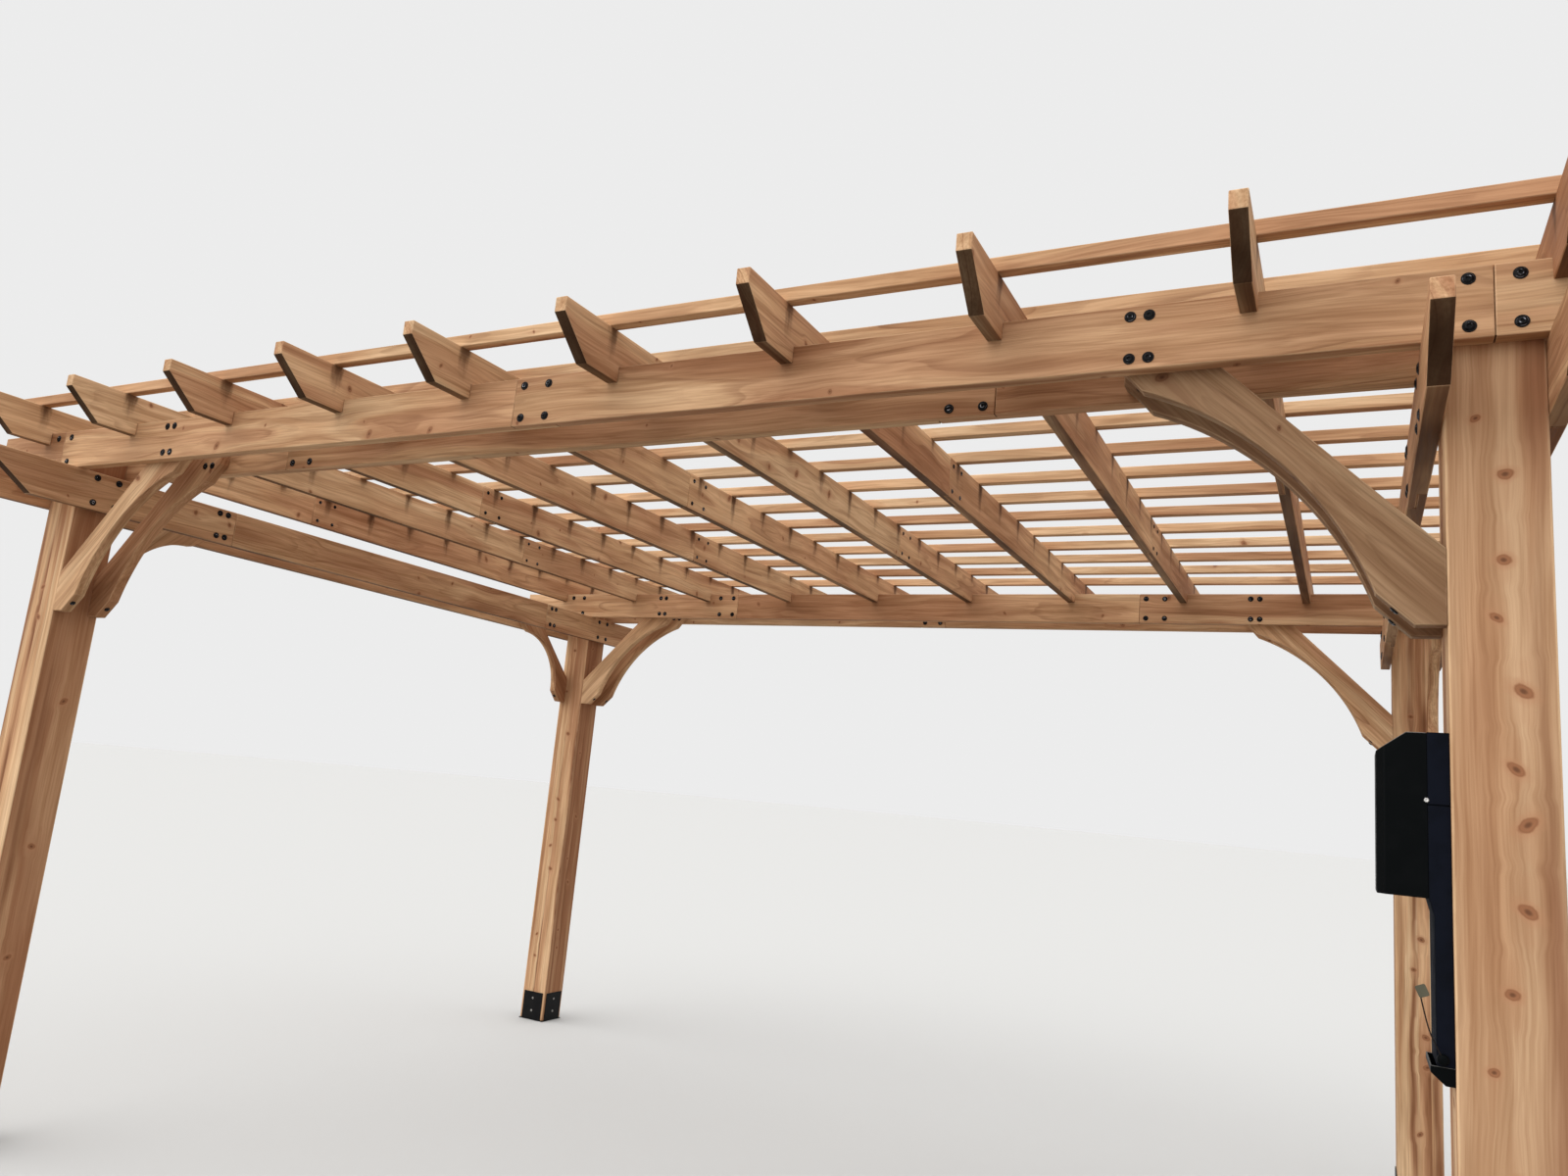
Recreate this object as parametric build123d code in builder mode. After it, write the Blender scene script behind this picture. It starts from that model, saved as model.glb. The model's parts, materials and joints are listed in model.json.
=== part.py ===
"""Timber pergola on four posts, about 5.0 m by 3.7 m and 2.5 m tall.

Four square posts stand in steel post shoes. Side beams run front to back on the
left and right of the posts, and double headers lie on the side beams across the
front and the back. Ten notched rafters sit on the headers, fourteen slats lie
across the rafters, and curved knee braces stiffen every corner. A power outlet
box is fixed to the inner face of the front right post.

All sizes are in millimetres. X runs to the right, Y to the back and Z up.
The origin is on the ground at the middle of the plan.
"""
import os

from build123d import *

os.makedirs("parts", exist_ok=True)

# Posts
post_side = 152.0
post_spacing_x = 4210.0
post_spacing_y = 2920.0

# Post shoes
shoe_plate = 4.0
shoe_height = 146.0
shoe_corner_gap = 13.0

# Boards of the headers and side beams
board_thickness = 35.0
header_height = 132.0
header_bottom = 2229.0
header_overhang = 370.0
side_beam_height = 132.0
side_beam_overhang = 368.0
tail_cut_length = 128.0
tail_nose_height = 37.0

# Rafters
rafter_count = 10
rafter_thickness = 33.0
rafter_height = 128.0
rafter_drop = 41.0
rafter_overhang = 338.0
rafter_cut_length = 100.0
rafter_outset = 100.0

# Slats, with the first and last ones' distances from the ends of the rafters
slat_count = 14
slat_side = 33.0
slat_front_inset = 189.0
slat_back_inset = 230.0
slat_overhang = 90.0
slats_per_node = 3

# Joints between the lengths of a board: butt joints and half laps
joint_gap = 1.2
lap_clearance = 0.3
notch_clearance = 0.5
lap_length = 136.0
header_lap_start = 930.0
side_beam_lap_start = 398.0
side_beam_lap_length = 110.0
rafter_lap_front = 1000.0
rafter_lap_back = 1833.0

# Knee braces, measured from the post face and down from the underside of the beam
brace_foot_drop = 495.0
brace_foot_width = 48.5
brace_edge_drop = 361.0
header_brace_reach = 566.0
header_brace_tip = 537.0
header_brace_cut = (510.5, 31.7)
header_brace_arc_middle = (262.4, 191.0)
header_brace_arc_foot = (107.6, 439.0)
side_brace_reach = 432.0
side_brace_tip = 401.0
side_brace_cut = (371.0, 13.5)
side_brace_arc_middle = (178.0, 98.0)
side_brace_arc_foot = (101.0, 307.0)
brace_top_inset = 4.0
brace_nose_rise = 28.0

# Power box on the front right post
channel_width = 130.0
channel_depth = 33.0
channel_lower_depth = 26.0
channel_step_height = 26.0
channel_bottom = 1026.0
channel_top = 1554.0
channel_seam_level = 1434.0
channel_seam = 0.8
housing_depth = 75.0
housing_bottom = 1283.0
housing_top = 1553.0
housing_corner_rise = 34.0
housing_corner_run = 45.0
housing_bevel = 12.0
tray_height = 28.0
tray_lip_height = 10.0
tray_top_width = 34.5
tray_foot_width = 14.0
tray_wall = 2.0

# Positions worked out from the sizes above
half_post = post_side / 2
half_x = post_spacing_x / 2
half_y = post_spacing_y / 2
header_top = header_bottom + header_height
side_beam_bottom = header_bottom - side_beam_height
rafter_bottom = header_top - rafter_drop
rafter_top = rafter_bottom + rafter_height
foot_level = header_bottom - brace_foot_drop
corners = {
    "front_left": (-1, -1),
    "front_right": (1, -1),
    "back_left": (-1, 1),
    "back_right": (1, 1),
}


def save(part, name):
    """Label a finished piece and write it to its own file."""
    part.label = name
    export_step(part, f"parts/{name}.step")


def tail_profile(reach, bottom, top, cut_length):
    """Draw a board's side view, with its lower corner cut away at both ends."""
    with BuildSketch() as profile:
        with BuildLine():
            Polyline(
                (-reach, top),
                (reach, top),
                (reach, top - tail_nose_height),
                (reach - cut_length, bottom),
                (-reach + cut_length, bottom),
                (-reach, top - tail_nose_height),
                close=True,
            )
        make_face()
    return profile.sketch


def lap_slit(across, thickness, near, far):
    """Draw the stepped slit of a half lap as seen from below, along a board's length.

    It opens on the board's near face at near, on its far face at far, and runs
    along the middle of the thickness in between.
    """
    with BuildSketch() as slit:
        with Locations((near, across + thickness / 4)):
            Rectangle(joint_gap, thickness / 2)
        with Locations((far, across + 3 * thickness / 4)):
            Rectangle(joint_gap, thickness / 2)
        with Locations(((near + far) / 2, across + thickness / 2)):
            Rectangle(abs(far - near), lap_clearance)
    return slit.sketch


def beam_board(name, plane, across, reach, bottom, height, butts, laps):
    """Make one board of a header or side beam, as the lengths between its joints.

    The plane's own x runs along the board and its own y runs up. The board lies
    between across and across + board_thickness along the plane's normal. Each of
    the laps gives the place of its joint on the near face and on the far face.
    """
    plan = Plane(origin=(0, 0, bottom + height / 2), x_dir=plane.x_dir, z_dir=(0, 0, -1))
    with BuildPart() as board:
        with BuildSketch(plane.offset(across)):
            add(tail_profile(reach, bottom, bottom + height, tail_cut_length))
            if butts:
                with Locations(*[(butt, bottom + height / 2) for butt in butts]):
                    Rectangle(joint_gap, 2 * height, mode=Mode.SUBTRACT)
        extrude(amount=board_thickness)
        if laps:
            with BuildSketch(plan):
                for near, far in laps:
                    add(lap_slit(across, board_thickness, near, far))
            extrude(amount=height, both=True, mode=Mode.SUBTRACT)
    save(board.part, name)


# Posts and their steel shoes
for corner, (side_x, side_y) in corners.items():
    centre = (side_x * half_x, side_y * half_y)

    with BuildPart() as post:
        with BuildSketch(Plane.XY.offset(shoe_plate)):
            with Locations(centre):
                Rectangle(post_side, post_side)
        extrude(amount=header_top - shoe_plate)
    save(post.part, f"post_{corner}")

    with BuildPart() as shoe:
        with BuildSketch(Plane.XY):
            with Locations(centre):
                Rectangle(post_side + 2 * shoe_plate, post_side + 2 * shoe_plate)
        extrude(amount=shoe_plate)
        with BuildSketch(Plane.XY):
            with Locations(centre):
                Rectangle(post_side + 2 * shoe_plate, post_side - 2 * shoe_corner_gap)
                Rectangle(post_side - 2 * shoe_corner_gap, post_side + 2 * shoe_plate)
                Rectangle(post_side, post_side, mode=Mode.SUBTRACT)
        extrude(amount=shoe_height)
    save(shoe.part, f"post_shoe_{corner}")

# Headers across the front and back
along_x = Plane(origin=(0, 0, 0), x_dir=(1, 0, 0), z_dir=(0, -1, 0))
header_reach = half_x + header_overhang
header_lap_outside = half_x - header_lap_start
header_lap_inside = half_x - header_lap_start - lap_length
for row, side_y in (("front", -1), ("back", 1)):
    post_line = -side_y * half_y
    outer_across = post_line + (half_post if side_y < 0 else -half_post - board_thickness)
    inner_across = post_line + (-half_post - board_thickness if side_y < 0 else half_post)
    outer_lap = (-side_y * lap_length / 2, side_y * lap_length / 2)
    near, far = (
        (header_lap_inside, header_lap_outside) if side_y < 0 else (header_lap_outside, header_lap_inside)
    )
    beam_board(
        f"header_{row}_outer",
        along_x,
        outer_across,
        header_reach,
        header_bottom,
        header_height,
        [-half_x, half_x],
        [outer_lap],
    )
    beam_board(
        f"header_{row}_inner",
        along_x,
        inner_across,
        header_reach,
        header_bottom,
        header_height,
        [],
        [(-near, -far), (near, far)],
    )

# Side beams on the left and right
along_y = Plane(origin=(0, 0, 0), x_dir=(0, 1, 0), z_dir=(1, 0, 0))
side_reach = half_y + side_beam_overhang
side_lap_outside = half_y - side_beam_lap_start
side_lap_inside = half_y - side_beam_lap_start - side_beam_lap_length
for side, side_x in (("left", -1), ("right", 1)):
    post_line = side_x * half_x
    outer_across = post_line + (half_post if side_x > 0 else -half_post - board_thickness)
    inner_across = post_line + (-half_post - board_thickness if side_x > 0 else half_post)
    near, far = (side_lap_inside, side_lap_outside) if side_x > 0 else (side_lap_outside, side_lap_inside)
    beam_board(
        f"side_beam_{side}_outer",
        along_y,
        outer_across,
        side_reach,
        side_beam_bottom,
        side_beam_height,
        [-half_y, half_y],
        [],
    )
    beam_board(
        f"side_beam_{side}_inner",
        along_y,
        inner_across,
        side_reach,
        side_beam_bottom,
        side_beam_height,
        [],
        [(-near, -far), (near, far)],
    )

# Rafters, notched over the four header boards
rafter_reach = half_y + rafter_overhang
rafter_first = -half_x - rafter_outset
rafter_pitch = (post_spacing_x + 2 * rafter_outset) / (rafter_count - 1)
rafter_plan = Plane(
    origin=(0, 0, rafter_bottom + rafter_height / 2), x_dir=along_y.x_dir, z_dir=(0, 0, -1)
)
header_boards_y = [
    side_y * (half_y + offset * (half_post + board_thickness / 2)) for side_y in (-1, 1) for offset in (-1, 1)
]
for index in range(rafter_count):
    rafter_side = rafter_first + rafter_pitch * index - rafter_thickness / 2
    right_joint = -half_y + (rafter_lap_front if index % 2 == 0 else rafter_lap_back)
    with BuildPart() as rafter:
        with BuildSketch(along_y.offset(rafter_side)):
            add(tail_profile(rafter_reach, rafter_bottom, rafter_top, rafter_cut_length))
            with Locations(*[(y, rafter_bottom) for y in header_boards_y]):
                Rectangle(
                    board_thickness + 2 * notch_clearance,
                    2 * rafter_drop,
                    mode=Mode.SUBTRACT,
                )
        extrude(amount=rafter_thickness)
        with BuildSketch(rafter_plan):
            add(lap_slit(rafter_side, rafter_thickness, right_joint + lap_length, right_joint))
        extrude(amount=rafter_height, both=True, mode=Mode.SUBTRACT)
    save(rafter.part, f"rafter_{index + 1:02d}")

# Slats, lying across the tops of the rafters
slat_reach = half_x + rafter_outset + rafter_thickness / 2 + slat_overhang
slat_first = -rafter_reach + slat_front_inset
slat_pitch = (2 * rafter_reach - slat_front_inset - slat_back_inset) / (slat_count - 1)
slat_rows = [slat_first + slat_pitch * i for i in range(slat_count)]
for group, first_row in enumerate(range(0, slat_count, slats_per_node)):
    rows = slat_rows[first_row:first_row + slats_per_node]
    with BuildPart() as slats:
        with BuildSketch(Plane.XY.offset(rafter_top)):
            with Locations(*[(0, y) for y in rows]):
                Rectangle(2 * slat_reach, slat_side)
        extrude(amount=slat_side)
    save(slats.part, f"slats_{group + 1}")


def brace_face(sign, post_line, beam_bottom, reach, tip, cut, arc_middle, arc_foot):
    """Draw a knee brace from the side, on a plane whose own y is up.

    The brace stands against the post's face at post_line + sign * half_post and
    reaches away from it along sign. Its top is hidden between the beam's boards.
    """
    face = post_line + sign * half_post
    foot = foot_level
    edge = foot + (brace_foot_drop - brace_edge_drop)
    top = beam_bottom + header_height - brace_top_inset
    arc_start = (face + sign * arc_foot[0], beam_bottom - arc_foot[1])
    arc_through = (face + sign * arc_middle[0], beam_bottom - arc_middle[1])
    arc_end = (face + sign * cut[0], beam_bottom - cut[1])
    with BuildSketch() as profile:
        with BuildLine():
            Polyline(
                arc_end,
                (face + sign * tip, beam_bottom),
                (face + sign * reach, beam_bottom + brace_nose_rise),
                (face + sign * reach, top),
                (face + sign * (top - edge), top),
                (face, edge),
                (face, foot),
                (face + sign * brace_foot_width, foot),
                arc_start,
            )
            ThreePointArc(arc_start, arc_through, arc_end)
        make_face()
    return profile.sketch


# Knee braces under the headers: a pair of plates at each post
for corner, (side_x, side_y) in corners.items():
    outline = brace_face(
        -side_x,
        side_x * half_x,
        header_bottom,
        header_brace_reach,
        header_brace_tip,
        header_brace_cut,
        header_brace_arc_middle,
        header_brace_arc_foot,
    )
    with BuildPart() as brace:
        for side in (-1, 1):
            near = -side_y * half_y + side * (half_post - board_thickness / 2) - board_thickness / 2
            with BuildSketch(along_x.offset(near)):
                add(outline)
            extrude(amount=board_thickness)
    save(brace.part, f"header_brace_{corner}")

# Knee braces under the side beams: one plate, flush with the post's outer face
for corner, (side_x, side_y) in corners.items():
    outline = brace_face(
        -side_y,
        side_y * half_y,
        side_beam_bottom,
        side_brace_reach,
        side_brace_tip,
        side_brace_cut,
        side_brace_arc_middle,
        side_brace_arc_foot,
    )
    with BuildPart() as brace:
        near = side_x * (half_x + half_post - board_thickness / 2) - board_thickness / 2
        with BuildSketch(along_y.offset(near)):
            add(outline)
        extrude(amount=board_thickness)
    save(brace.part, f"side_brace_{corner}")

# Power box: a channel on the post's inner face, a housing on it and a cable tray below
box_face_x = half_x - half_post
box_plane = Plane(origin=(0, -half_y, 0), x_dir=(1, 0, 0), z_dir=(0, -1, 0))
half_channel = channel_width / 2
channel_face_x = box_face_x - channel_depth
channel_lower_x = box_face_x - channel_lower_depth
with BuildPart() as channel:
    with BuildSketch(box_plane.offset(-half_channel)):
        with BuildLine():
            Polyline(
                (channel_lower_x, channel_bottom),
                (box_face_x, channel_bottom),
                (box_face_x, channel_top),
                (channel_face_x, channel_top),
                (channel_face_x, housing_bottom),
                (channel_lower_x, housing_bottom - channel_step_height),
                close=True,
            )
        make_face()
        with Locations((box_face_x, channel_seam_level)):
            Rectangle(2 * channel_width, channel_seam, mode=Mode.SUBTRACT)
    extrude(amount=channel_width)
save(channel.part, "power_box_channel")

housing_outer = channel_face_x - housing_depth
with BuildPart() as housing:
    with BuildSketch(box_plane.offset(-half_channel)):
        with BuildLine():
            Polyline(
                (housing_outer, housing_bottom),
                (channel_face_x, housing_bottom),
                (channel_face_x, housing_top),
                (housing_outer + housing_corner_run, housing_top),
                (housing_outer, housing_top - housing_corner_rise),
                close=True,
            )
        make_face()
    extrude(amount=channel_width)
    chamfer(housing.edges().filter_by(Axis.Z).group_by(Axis.X)[0], length=housing_bevel)
save(housing.part, "power_box_housing")

# The cable tray is open at the top, where the channel ends
tray_bottom = channel_bottom - tray_height
with BuildPart() as tray:
    with BuildSketch(box_plane.offset(-half_channel)):
        with BuildLine():
            Polyline(
                (box_face_x, tray_bottom),
                (box_face_x, channel_bottom),
                (box_face_x - tray_top_width, channel_bottom),
                (box_face_x - tray_top_width, channel_bottom - tray_lip_height),
                (box_face_x - tray_foot_width, tray_bottom),
                close=True,
            )
        make_face()
    extrude(amount=channel_width)
    offset(amount=-tray_wall, openings=tray.faces().sort_by(Axis.Z)[-1])
save(tray.part, "power_box_cable_tray")
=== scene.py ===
"""Looks of a cedar pergola: planed timber, bolts, steel post shoes and an outlet box.

Everything is in metres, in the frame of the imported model: X runs to the right
along the headers, Y to the back along the rafters and Z up from the ground.
"""

import json
import logging
import math
import random
from collections.abc import Callable, Iterable, Sequence
from dataclasses import dataclass
from enum import Enum, IntEnum

import bmesh
import bpy
from mathutils import Matrix, Vector

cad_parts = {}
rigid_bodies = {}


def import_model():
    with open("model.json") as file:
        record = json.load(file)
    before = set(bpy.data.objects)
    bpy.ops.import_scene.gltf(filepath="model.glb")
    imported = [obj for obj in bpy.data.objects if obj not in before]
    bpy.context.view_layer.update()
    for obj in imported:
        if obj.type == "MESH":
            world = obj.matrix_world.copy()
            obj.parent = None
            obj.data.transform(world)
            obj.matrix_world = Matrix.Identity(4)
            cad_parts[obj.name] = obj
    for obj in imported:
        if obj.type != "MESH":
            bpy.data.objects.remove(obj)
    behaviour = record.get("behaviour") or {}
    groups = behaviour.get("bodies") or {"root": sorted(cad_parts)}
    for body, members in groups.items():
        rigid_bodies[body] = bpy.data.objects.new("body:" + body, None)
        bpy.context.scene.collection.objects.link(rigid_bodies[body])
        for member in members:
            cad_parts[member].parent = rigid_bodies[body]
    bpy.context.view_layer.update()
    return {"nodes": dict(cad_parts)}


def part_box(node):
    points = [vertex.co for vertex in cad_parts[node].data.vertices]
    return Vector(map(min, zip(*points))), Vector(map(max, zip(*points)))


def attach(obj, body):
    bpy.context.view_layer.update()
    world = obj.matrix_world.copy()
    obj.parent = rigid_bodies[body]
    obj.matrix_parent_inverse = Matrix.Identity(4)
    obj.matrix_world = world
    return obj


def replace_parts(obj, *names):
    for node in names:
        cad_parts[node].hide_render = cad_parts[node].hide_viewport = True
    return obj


for leftover in list(bpy.data.objects):
    bpy.data.objects.remove(leftover)

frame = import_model()

log = logging.getLogger("pergola")

Colour = tuple[float, float, float]
Socket = bpy.types.NodeSocket
Point = tuple[float, float, float]

TINY = 0.00001
CORNERS = (
    ("front", "left", -1, -1),
    ("front", "right", -1, 1),
    ("back", "left", 1, -1),
    ("back", "right", 1, 1),
)
RAFTERS = [f"rafter_{number:02d}" for number in range(1, 11)]


def srgb(red: int, green: int, blue: int) -> Colour:
    """Return linear values for a colour given as it shows on a screen."""
    return tuple(((c / 255 + 0.055) / 1.055) ** 2.4 for c in (red, green, blue))


def add_node(
    tree: bpy.types.NodeTree,
    kind: str,
    *values: object,
    inputs: dict[str, object] | None = None,
    **settings: object,
) -> bpy.types.Node:
    """Add a node to a tree.

    Args:
        tree: The tree.
        kind: Blender's name for the node.
        values: What its first inputs take: outputs of other nodes, numbers, vectors or colours.
        inputs: What other inputs take, by name.
        settings: The node's own properties.

    Returns:
        The node.
    """
    node = tree.nodes.new(kind)
    for name, value in settings.items():
        setattr(node, name, value)
    used = [socket for socket in node.inputs if socket.enabled]
    pairs = [*zip(used, values)]
    pairs += [(next(s for s in used if s.name == name), value) for name, value in (inputs or {}).items()]
    for socket, value in pairs:
        value = value.socket if isinstance(value, Value) else value
        if isinstance(value, Socket):
            tree.links.new(value, socket)
        elif socket.type == "RGBA":
            socket.default_value = (*value, 1.0)
        elif socket.type == "VECTOR" and isinstance(value, float):
            socket.default_value = (value, value, value)
        else:
            socket.default_value = value
    return node


def operator(operation: str, swapped: bool = False) -> Callable[["Value", object], "Value"]:
    """Return a method for one of Python's operators.

    Args:
        operation: Blender's name for the operation.
        swapped: Whether the node's first value is the one behind the operator.

    Returns:
        The method, which adds a node and returns its result.
    """
    def method(first: "Value", second: object) -> "Value":
        """Return the result of the operation."""
        return first.compute(operation, *((second, first) if swapped else (first, second)))

    return method


class Value:
    """An output of a shader node, with Python's arithmetic for numbers and for vectors."""

    __add__ = __radd__ = operator("ADD")
    __sub__ = operator("SUBTRACT")
    __rsub__ = operator("SUBTRACT", swapped=True)
    __mul__ = __rmul__ = operator("MULTIPLY")
    __truediv__ = operator("DIVIDE")
    __pow__ = operator("POWER")

    def __init__(self, tree: bpy.types.NodeTree, socket: Socket) -> None:
        """Wrap an output of one of the tree's nodes."""
        self.tree = tree
        self.socket = socket

    def __abs__(self) -> "Value":
        """Return the value without its sign."""
        return self.math("ABSOLUTE")

    def node(self, kind: str, output: str, *values: object, **options: object) -> "Value":
        """Return an output of a new shader node, given its kind without the prefix and what it takes."""
        made = add_node(self.tree, f"ShaderNode{kind}", *values, **options)
        return Value(self.tree, next(s for s in made.outputs if s.enabled and s.name == output))

    def compute(self, operation: str, *values: object) -> "Value":
        """Return the result of one operation.

        Args:
            operation: Blender's name for the operation.
            values: What it takes. Where one of them is a vector, all are taken as vectors.

        Returns:
            The result.
        """
        flat = any(
            isinstance(v, tuple) or isinstance(v, Value) and v.socket.type in ("VECTOR", "RGBA")
            for v in values
        )
        output = "Vector" if flat and operation != "LENGTH" else "Value"
        return self.node("VectorMath" if flat else "Math", output, *values, operation=operation)

    def math(self, operation: str, *others: object) -> "Value":
        """Return the result of an operation on this value and, where it takes them, others."""
        return self.compute(operation, self, *others)

    def split(self) -> list["Value"]:
        """Return a vector's three parts."""
        return [Value(self.tree, part) for part in add_node(self.tree, "ShaderNodeSeparateXYZ", self).outputs]

    def noise(self, scale: float | Point, detail: float = 2.0, tint: bool = False) -> "Value":
        """Return smooth noise round a half, read at this place.

        Args:
            scale: The number of features in a metre, in all directions or in each.
            detail: The number of finer layers.
            tint: Whether three different noises are returned, as a colour.

        Returns:
            The noise.
        """
        place, scale = (self * scale, 1.0) if isinstance(scale, tuple) else (self, scale)
        inputs = {"Vector": place, "Scale": scale, "Detail": detail}
        return self.node("TexNoise", "Color" if tint else "Fac", inputs=inputs)

    def cells(self, randomness: float, feature: str, output: str) -> "Value":
        """Return a property of the nearest cell of size one on a plane.

        Args:
            randomness: How far the cells' centres leave their grid.
            feature: Blender's name for what is worked out.
            output: The name of the output to return.

        Returns:
            The output.
        """
        inputs = {"Vector": self, "Scale": 1.0, "Randomness": randomness}
        return self.node("TexVoronoi", output, inputs=inputs, voronoi_dimensions="2D", feature=feature)

    def chance(self) -> "Value":
        """Return a random number that depends on this one."""
        return self.node("TexWhiteNoise", "Value", self, noise_dimensions="1D")

    def remap(self, low: float, high: float, first: float = 0.0, last: float = 1.0) -> "Value":
        """Return this value taken from one range to another, with soft ends.

        Args:
            low: Where the old range starts.
            high: Where the old range ends.
            first: Where the new range starts.
            last: Where the new range ends.

        Returns:
            The new value.
        """
        return self.node("MapRange", "Result", self, low, high, first, last, interpolation_type="SMOOTHSTEP")

    def bell(self) -> "Value":
        """Return a bell curve of this value, which is one at zero."""
        return (self**2.0 * -1.0).math("EXPONENT")

    def ramp(self, stops: Sequence[tuple[float, Colour]]) -> "Value":
        """Return a colour picked by this value from a row of colours.

        Args:
            stops: Each colour's place in the row, between 0 and 1, and the colour.

        Returns:
            The colour.
        """
        node = add_node(self.tree, "ShaderNodeValToRGB", self)
        band = node.color_ramp.elements
        for element, (place, colour) in zip(band, (stops[0], stops[-1])):
            element.position = place
            element.color = (*colour, 1)
        for place, colour in stops[1:-1]:
            band.new(place).color = (*colour, 1)
        return Value(self.tree, node.outputs["Color"])


class ShaderGraph:
    """A material's node tree."""

    def __init__(self, name: str) -> None:
        """Start a material that holds a shader and nothing else.

        Args:
            name: The material's name.
        """
        self.material = bpy.data.materials.new(name)
        self.material.use_nodes = True
        self.tree = self.material.node_tree
        self.tree.nodes.clear()
        self.shader = add_node(self.tree, "ShaderNodeBsdfPrincipled")
        add_node(self.tree, "ShaderNodeOutputMaterial", self.shader.outputs["BSDF"])

    def node(self, kind: str, output: str, *values: object, **options: object) -> Value:
        """Return an output of a new shader node, given its kind without the prefix and what it takes."""
        return Value(self.tree, self.shader.outputs[0]).node(kind, output, *values, **options)

    def position(self) -> Value:
        """Return the point's place in the object's own coordinates."""
        return self.node("TexCoord", "Object")

    def upward(self) -> Value:
        """Return how far the surface faces up: one for a top and minus one for an underside."""
        return self.node("TexCoord", "Normal").split()[2]

    def attribute(self, name: str) -> Value:
        """Return a vector attribute of the mesh."""
        return self.node("Attribute", "Vector", attribute_name=name)

    def join(self, *parts: Value | float) -> Value:
        """Return a vector made of up to three parts."""
        return self.node("CombineXYZ", "Vector", *parts)

    def mix(
        self, factor: Value | float, first: Value | Colour, second: Value | Colour, blend: str = "MIX"
    ) -> Value:
        """Return two colours mixed.

        Args:
            factor: How much of the second colour shows.
            first: The colour below.
            second: The colour on top.
            blend: Blender's name for how they mix.

        Returns:
            The mixed colour.
        """
        return self.node("Mix", "Result", factor, first, second, data_type="RGBA", blend_type=blend)

    def cover(
        self,
        colour: Value,
        roughness: Value | float,
        gloss: float,
        relief: Value | None = None,
        depth: float = 0.0,
        metallic: float = 0.0,
    ) -> bpy.types.Material:
        """Give the shader its looks.

        Args:
            colour: The surface's colour.
            roughness: Its roughness.
            gloss: How strongly it reflects, where a half is plain plastic.
            relief: The height of a fine relief, between 0 and 1.
            depth: The depth in metres of a height of one.
            metallic: How metallic it is.

        Returns:
            The material.
        """
        looks = {
            "Base Color": colour,
            "Roughness": roughness,
            "Specular IOR Level": gloss,
            "Metallic": metallic,
        }
        if relief:
            looks["Normal"] = self.node("Bump", "Normal", inputs={"Distance": depth, "Height": relief})
        for name, value in looks.items():
            if isinstance(value, Value):
                self.tree.links.new(value.socket, self.shader.inputs[name])
            else:
                self.shader.inputs[name].default_value = value
        return self.material


@dataclass(frozen=True)
class SlatStainsAndShade:
    """Dark marks on the rafters' sides below each slat: partly water run down from under the slat, partly
    painted shade from the slat.
    """

    first: float
    pitch: float
    level: float
    width: float = 0.022
    length: float = 0.1
    shortest: float = 0.5
    taper: float = 0.75
    weakest: float = 0.6
    luck_share: float = 0.35
    ripple: float = 0.04
    ripple_scale: Point = (30.0, 60.0, 20.0)

    def amount(self, g: ShaderGraph) -> Value:
        """Work out how dark each point's mark below the slats is.

        Args:
            g: The material's nodes.

        Returns:
            The strength of the dark mark.
        """
        place = g.position()
        _, back, up = place.split()
        ripple = (place.noise(self.ripple_scale, 3.0) - 0.5) * self.ripple
        count = (back + ripple - self.first) / self.pitch
        nearest = count.math("ROUND")
        aside = abs(count - nearest) * self.pitch
        luck = nearest.chance()
        down = (self.level - up) / (luck * self.length + self.length * self.shortest)
        spread = (aside / self.width + down * self.taper).remap(0.3, 1.35, 1.0, 0.0)
        return spread * down.remap(0.0, 1.0, 1.0, 0.0) * (luck * self.luck_share + self.weakest)


@dataclass(frozen=True)
class Layer:
    """Noise that darkens the wood where it is low: its scale along, across and through the board."""

    scale: Point
    detail: float
    low: float
    high: float
    dark: Colour

    def lay(self, g: ShaderGraph, noise: Value, colour: Value) -> Value:
        """Return the colour with this layer over it."""
        light = (1.04, 1.04, 1.04)
        return g.mix(1.0, colour, noise.ramp(((self.low, self.dark), (self.high, light))), "MULTIPLY")


@dataclass(frozen=True)
class Rings:
    """How the growth rings look: their width, the soft start and end of a ring's late wood, and its strength.

    odds is how rarely a ring is strong, fine how much a finer set of lines
    shows, band how far the hue changes over several rings, drift how far the
    rings wander, and pull how far a knot pushes the fibres aside.
    """

    width: float = 0.0075
    start: float = 0.5
    end: float = 0.93
    odds: float = 1.8
    late: float = 0.5
    fine: float = 0.0
    band: float = 0.8
    drift: float = 3.0
    wander: float = 0.07
    pull: float = 0.9
    drift_scale: Point = (1.1, 11.0, 11.0)

    def draw(self, g: ShaderGraph, radius: Value, at: Value) -> tuple[Value, Value]:
        """Draw the rings.

        Args:
            g: The material's nodes.
            radius: The distance from the heart in metres.
            at: The place in the board.

        Returns:
            How much late wood shows, and the slow change of hue.
        """
        along = at.split()[0]
        count = radius / self.width + at.noise(self.drift_scale) * self.drift
        part = count.math("FRACT")
        line = part.remap(self.start, self.end) * part.remap(self.end, 1.0, 1.0, 0.0)
        strength = count.math("FLOOR").chance() ** self.odds * 0.8 + 0.2
        fades = g.join(along * 2.5, count).noise(1.0, 1.0).remap(0.36, 0.58, 0.3, 1.0)
        late = line * strength * fades
        if self.fine:
            part = (count * 4.0).math("FRACT")
            late = late.math("MAXIMUM", part.remap(0.4, 0.85) * part.remap(0.85, 1.0, 1.0, 0.0) * self.fine)
        band = g.join(radius * 30.0, along * 0.6).noise(1.0).remap(0.33, 0.67)
        return late, (band - 0.5) * self.band


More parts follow.
